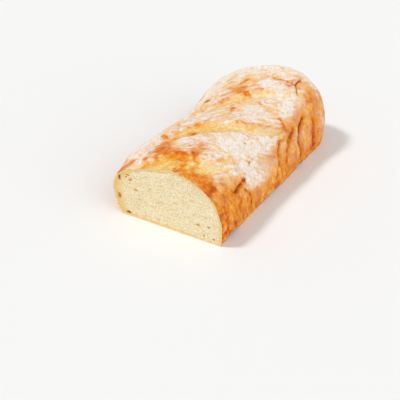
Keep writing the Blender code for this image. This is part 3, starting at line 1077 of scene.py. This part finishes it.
def crust_material(grain):
    """Baked crust under patchy flour, with painted shade in its creases and darker in its burst blisters."""
    finish = Finish("baked crust", CRUST_ROUGHNESS, CRUST_SHEEN)
    mottle = finish.grain(grain, CRUST_MOTTLE)
    speck = finish.grain(grain, CRUST_SPECK)
    mixed = finish.calculate("ADD", mottle, speck)
    shift = finish.scaled(mixed, BAKE_SHIFT, -BAKE_SHIFT)
    baked = finish.ramp(finish.calculate("ADD", finish.layer("bake"), shift), BAKED_TONES)

    patchy = finish.scaled(mixed, FLOUR_SHIFT, -FLOUR_SHIFT)
    level = finish.layer("flour")
    cover = finish.scaled(finish.calculate("ADD", level, patchy), *COVER_RAMP, clamp=True)
    film = finish.scaled(level, *FILM_RAMP, clamp=True)
    cover = finish.calculate("MAXIMUM", finish.calculate("MULTIPLY", cover, THICKEST_FLOUR), film)
    thick = finish.scaled(cover, *THICK_RAMP, clamp=True)
    flour = finish.mix(thick, THIN_FLOUR_TONE, finish.ramp(mottle, FLOUR_TONES))
    floured = finish.mix(cover, baked, flour)

    edges = finish.cells("DISTANCE_TO_EDGE", WRINKLE_CELLS, finish.bent(mottle))
    wrinkles = finish.scaled(edges, *WRINKLE_RAMP, clamp=True)
    showing = finish.scaled(speck, *WRINKLES_SHOW, clamp=True)
    wrinkles = finish.calculate("MULTIPLY", wrinkles, showing)
    wrinkled = finish.mix(finish.calculate("MULTIPLY", wrinkles, WRINKLE_LEVEL), floured, WRINKLE_TONE)
    # The dark layer mixes in painted shade at the creases and the blisters' own dark
    finish.colour(finish.mix(finish.layer("dark"), wrinkled, CREASE_SHADE_AND_BLISTER_TONE))

    roughness = finish.scaled(cover, FLOUR_ROUGHNESS, BARE_ROUGHNESS)
    finish.wire(roughness, finish.shader.inputs["Roughness"])
    height = finish.scaled(speck, SPECK_HEIGHT, finish.scaled(cover, FLOUR_HEIGHT, mottle))
    finish.bump(finish.scaled(wrinkles, WRINKLE_HEIGHT, height), CRUST_BUMP, CRUST_BUMP_DEPTH)
    return finish.material


CRUMB_TONES = (
    (0.34, tone(208, 176, 118)),
    (0.48, tone(241, 225, 187)),
    (0.64, tone(254, 247, 224)),
)
# Painted shade in the pores, and darker painted shade inside the larger holes
PORE_SHADE_TONE = tone(220, 176, 104)
HOLE_SHADE_TONE = tone(176, 98, 34)
BROWNED_TONE = tone(236, 198, 122)
CRUMB_ROUGHNESS = 0.95
CRUMB_SHEEN = 0.05
# The finest pores are the middles of cells, so many to the metre, darkened with painted shade
FINE_PORE_CELLS = 720.0
FINE_PORE_SHADE = 0.22
FINE_PORE_RAMP = (-5.5, 2.1)
FINE_PORE_HEIGHT = -0.4
# The browning is uneven: it takes the mottling, and this
BROWNED_SHARE = 0.4
CRUMB_BUMP, CRUMB_BUMP_DEPTH = 0.6, 0.0006


def crumb_material(grain):
    """Soft open crumb: cream, with painted shade in its pores and holes, and browned towards the crust."""
    finish = Finish("crumb", CRUMB_ROUGHNESS, CRUMB_SHEEN)
    mottle = finish.grain(grain, CRUMB_MOTTLE)
    cream = finish.ramp(mottle, CRUMB_TONES)
    uneven = finish.calculate("ADD", mottle, BROWNED_SHARE)
    browned = finish.calculate("MULTIPLY", finish.layer("browned"), uneven, clamp=True)
    toasted = finish.mix(browned, cream, BROWNED_TONE)
    middles = finish.cells("F1", FINE_PORE_CELLS, finish.place())
    cells = finish.scaled(middles, *FINE_PORE_RAMP, clamp=True)
    fine_pore_shade = finish.calculate("MULTIPLY", cells, FINE_PORE_SHADE)
    pore_shade_cover = finish.calculate("MAXIMUM", finish.layer("pore"), fine_pore_shade)
    # Painted shade in the pores, then in the larger holes
    pore_shaded = finish.mix(pore_shade_cover, toasted, PORE_SHADE_TONE)
    finish.colour(finish.mix(finish.layer("hole_shade"), pore_shaded, HOLE_SHADE_TONE))
    finish.bump(finish.scaled(cells, FINE_PORE_HEIGHT, mottle), CRUMB_BUMP, CRUMB_BUMP_DEPTH)
    return finish.material


FLOOR_SIZE = 40.0
FLOOR_CELLS = 8
FLOOR_ROUGHNESS = 0.9
FLOOR_TONE = tone(242, 243, 244)


def make_floor():
    mesh = bmesh.new()
    bmesh.ops.create_grid(mesh, x_segments=FLOOR_CELLS, y_segments=FLOOR_CELLS, size=FLOOR_SIZE)
    material, shader = new_material("pale floor", FLOOR_ROUGHNESS)
    shader.inputs["Base Color"].default_value = FLOOR_TONE
    floor = add_mesh("pale_floor", mesh, material)


# The camera, at the photograph's place and angle, with its lens and sensor in millimetres
CAMERA_PLACE = (-0.7646, -0.4311, 0.500)
CAMERA_PITCH = math.radians(31.9)
CAMERA_HEADING = math.radians(31.5)
CAMERA_LENS = 76.5
CAMERA_SENSOR = 36.0


def make_camera():
    camera = add_object("camera", bpy.data.cameras.new("camera"))
    camera.data.lens = CAMERA_LENS
    camera.data.sensor_width = CAMERA_SENSOR
    camera.location = CAMERA_PLACE
    camera.rotation_euler = (math.pi / 2 - CAMERA_PITCH, 0.0, CAMERA_HEADING - math.pi / 2)
    bpy.context.scene.camera = camera


# Even light from far off, its shadows softened by so many degrees
Lamp = namedtuple("Lamp", "name towards strength softness colour")
LAMPS = (
    Lamp("key", (-0.5, 0.9, 1.5), 1.45, 10, (1.0, 0.98, 0.95)),
    Lamp("fill", (-0.4, -1.3, 0.8), 1.10, 60, (1.0, 0.98, 0.96)),
)
# The studio's light at the horizon and overhead, from this height up
HORIZON_LIGHT = 0.97
SKY_LIGHT = 0.46
SKY_FROM = 0.5


def hang_lamp(lamp):
    light = bpy.data.lights.new(lamp.name, "SUN")
    light.energy = lamp.strength
    light.angle = math.radians(lamp.softness)
    light.color = lamp.colour
    hung = add_object(lamp.name, light)
    hung.location = lamp.towards
    hung.rotation_euler = Vector(lamp.towards).to_track_quat("Z", "Y").to_euler()


def studio():
    """White all round: bright at the horizon, where it meets the floor, and dimmer overhead."""
    world = bpy.data.worlds.new("studio")
    world.use_nodes = True
    nodes, links = world.node_tree.nodes, world.node_tree.links
    place = nodes.new("ShaderNodeTexCoord")
    parts = nodes.new("ShaderNodeSeparateXYZ")
    level = nodes.new("ShaderNodeMapRange")
    level.interpolation_type = "SMOOTHSTEP"
    for name, value in (("From Max", SKY_FROM), ("To Min", HORIZON_LIGHT), ("To Max", SKY_LIGHT)):
        level.inputs[name].default_value = value
    links.new(place.outputs["Generated"], parts.inputs["Vector"])
    links.new(parts.outputs["Z"], level.inputs["Value"])
    links.new(level.outputs["Result"], nodes["Background"].inputs["Strength"])
    nodes["Background"].inputs["Color"].default_value = (1.0, 1.0, 1.0, 1.0)
    return world


def make_light():
    for lamp in LAMPS:
        hang_lamp(lamp)
    bpy.context.scene.world = studio()
    bpy.context.scene.view_settings.view_transform = "Standard"


baked_grain = grain_group()
make_crust(crust_material(baked_grain))
make_crumb(crumb_material(baked_grain))
make_floor()
make_camera()
make_light()
